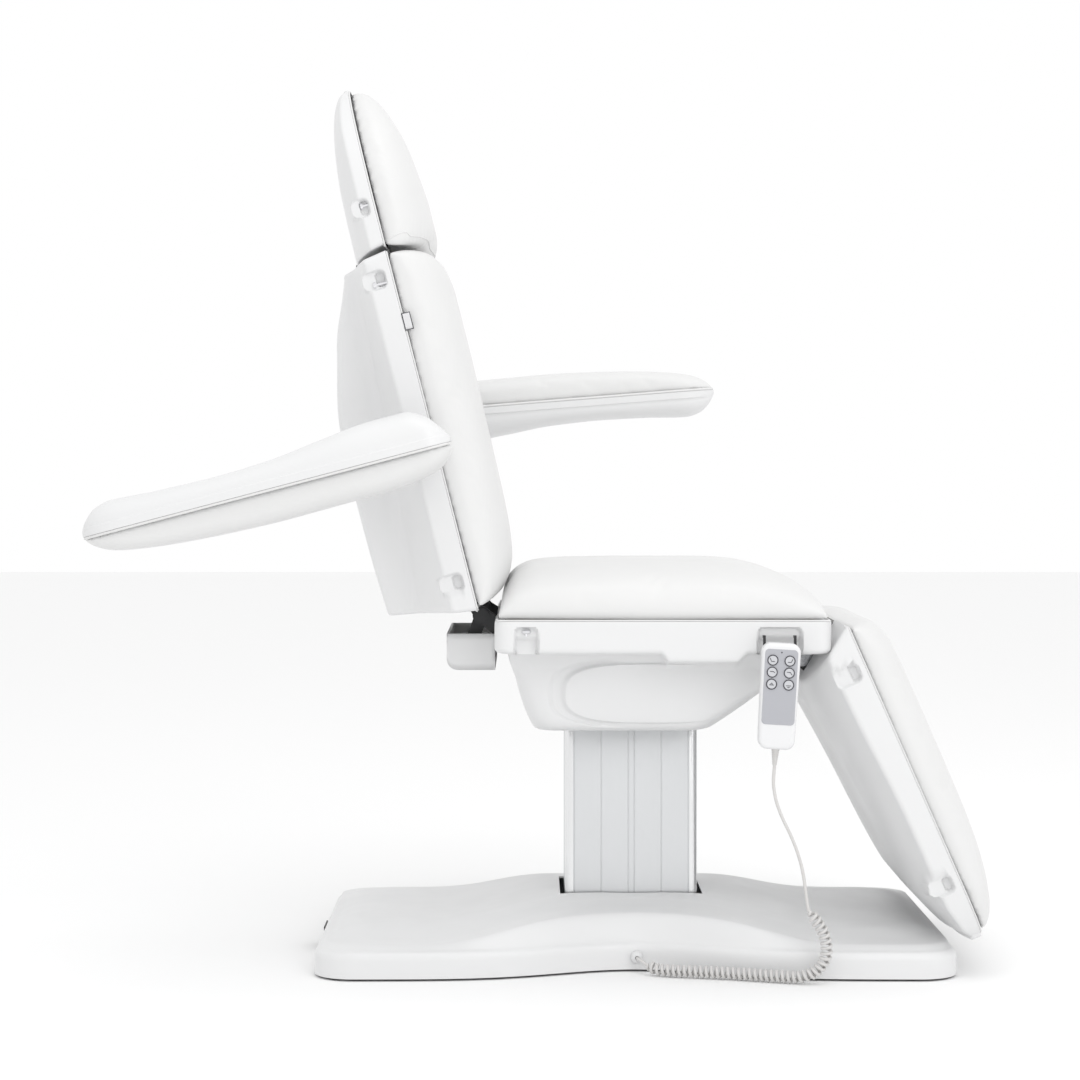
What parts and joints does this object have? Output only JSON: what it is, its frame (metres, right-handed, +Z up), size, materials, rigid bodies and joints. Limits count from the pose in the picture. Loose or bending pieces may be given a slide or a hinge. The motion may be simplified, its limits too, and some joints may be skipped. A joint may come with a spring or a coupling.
{
  "type": "facial treatment bed",
  "caption": "Electric facial treatment bed: lifting column on a waisted base, hinged padded back, headrest and leg rest, swing-over armrests and a corded handset.",
  "frame": {"origin": "on the floor under the axis of the lifting column", "axes": "+Z up, +X towards the feet, +Y towards the patient's left side; at rest the bed is at its lowest, with the back upright, the leg rest hanging and the right armrest swung to the rear"},
  "size_m": [1.3525, 0.89, 1.37],
  "materials": {
    "white_plastic": "satin moulded ABS, very light texture",
    "white_vinyl": "soft artificial leather with fine grain",
    "aluminium": "satin anodised",
    "black_steel": "black powder coat",
    "zinc_steel": "zinc plated",
    "chrome": "polished",
    "rubber": "matt",
    "black_plastic": "fine texture",
    "handset_plastic": "smooth",
    "grey_film": "satin printed film",
    "key_film": "satin",
    "cord_sheath": "soft PVC",
    "plywood": "raw",
    "tag_cloth": "woven"
  },
  "bodies": {
    "base": {"base_frame": "black_steel", "levelling_feet": "rubber", "base_cover": "white_plastic", "control_box": "black_plastic", "mains_inlet": "black_plastic", "cord_gland": "white_plastic", "column_foot": "black_steel", "column_bolts": "zinc_steel", "column_outer": "aluminium", "column_glides": "black_plastic", "lift_actuator": "black_plastic", "handset_cord": "cord_sheath", "handset_cord_curl": "cord_sheath"},
    "seat": {"column_inner": "aluminium", "lift_rod": "zinc_steel", "seat_frame": "black_steel", "seat_board": "plywood", "seat_cover": "white_plastic", "seat_cushion": "white_vinyl", "rear_hinge_box": "white_plastic", "seat_screws": "chrome", "back_hinge_pins": "black_steel", "leg_hinge_pins": "black_steel", "back_actuator": "black_plastic", "leg_actuator": "black_plastic", "handset_hook": "chrome", "handset_front": "handset_plastic", "handset_back": "handset_plastic", "handset_label": "grey_film", "cord_strain_relief": "cord_sheath"},
    "back": {"back_frame": "black_steel", "back_shell": "white_plastic", "back_cushion": "white_vinyl", "back_tag": "tag_cloth", "back_screws": "chrome", "arm_shafts": "chrome", "head_hinge_pins": "zinc_steel"},
    "head": {"head_frame": "black_steel", "head_shell": "white_plastic", "head_cushion": "white_vinyl", "head_screws": "chrome"},
    "leg": {"leg_frame": "black_steel", "leg_shell": "white_plastic", "leg_cushion": "white_vinyl", "leg_screws": "chrome"},
    "right_arm": {"right_arm_shell": "white_plastic", "right_arm_bar": "black_steel", "right_arm_pad": "white_vinyl"},
    "left_arm": {"left_arm_shell": "white_plastic", "left_arm_bar": "black_steel", "left_arm_pad": "white_vinyl"},
    "back_drive_rod": {"back_rod": "zinc_steel"},
    "leg_drive_rod": {"leg_rod": "zinc_steel"},
    "key_1": {"button_1": "key_film"},
    "key_2": {"button_2": "key_film"},
    "key_3": {"button_3": "key_film"},
    "key_4": {"button_4": "key_film"},
    "key_5": {"button_5": "key_film"},
    "key_6": {"button_6": "key_film"}
  },
  "joints": [
    {"name": "lift", "type": "slide", "parent": "base", "child": "seat", "axis": [0, 0, 1], "range_m": [0, 0.28]},
    {"name": "recline", "type": "hinge", "parent": "seat", "child": "back", "pos_m": [-0.236, 0, 0.54], "axis": [0, 1, 0], "range_deg": [-75.7, 0]},
    {"name": "headrest_tilt", "type": "hinge", "parent": "back", "child": "head", "pos_m": [-0.42952, 0, 1.0887], "axis": [0, 1, 0], "range_deg": [-30, 4]},
    {"name": "leg_raise", "type": "hinge", "parent": "seat", "child": "leg", "pos_m": [0.303, 0, 0.52], "axis": [0, 1, 0], "range_deg": [-66.2, 0]},
    {"name": "right_arm_swing", "type": "hinge", "parent": "back", "child": "right_arm", "pos_m": [-0.33605, -0.39, 0.83131], "axis": [0, 1, 0], "range_deg": [0, 190]},
    {"name": "left_arm_swing", "type": "hinge", "parent": "back", "child": "left_arm", "pos_m": [-0.33605, 0.39, 0.83131], "axis": [0, 1, 0], "range_deg": [-190, 0]},
    {"name": "back_drive", "type": "slide", "parent": "seat", "child": "back_drive_rod", "axis": [1, 0, 0], "range_m": [0, 0.0812]},
    {"name": "leg_drive", "type": "slide", "parent": "seat", "child": "leg_drive_rod", "axis": [1, 0, 0], "range_m": [0, 0.0592]},
    {"name": "key_1_press", "type": "slide", "parent": "seat", "child": "key_1", "axis": [0, 1, 0], "range_m": [0, 0.0008], "stiffness_N_per_m": 600},
    {"name": "key_2_press", "type": "slide", "parent": "seat", "child": "key_2", "axis": [0, 1, 0], "range_m": [0, 0.0008], "stiffness_N_per_m": 600},
    {"name": "key_3_press", "type": "slide", "parent": "seat", "child": "key_3", "axis": [0, 1, 0], "range_m": [0, 0.0008], "stiffness_N_per_m": 600},
    {"name": "key_4_press", "type": "slide", "parent": "seat", "child": "key_4", "axis": [0, 1, 0], "range_m": [0, 0.0008], "stiffness_N_per_m": 600},
    {"name": "key_5_press", "type": "slide", "parent": "seat", "child": "key_5", "axis": [0, 1, 0], "range_m": [0, 0.0008], "stiffness_N_per_m": 600},
    {"name": "key_6_press", "type": "slide", "parent": "seat", "child": "key_6", "axis": [0, 1, 0], "range_m": [0, 0.0008], "stiffness_N_per_m": 600}
  ],
  "couplings": [
    {"joint": "back_drive", "follows": "recline", "m_per_rad": -0.061307},
    {"joint": "leg_drive", "follows": "leg_raise", "m_per_rad": -0.051064}
  ]
}
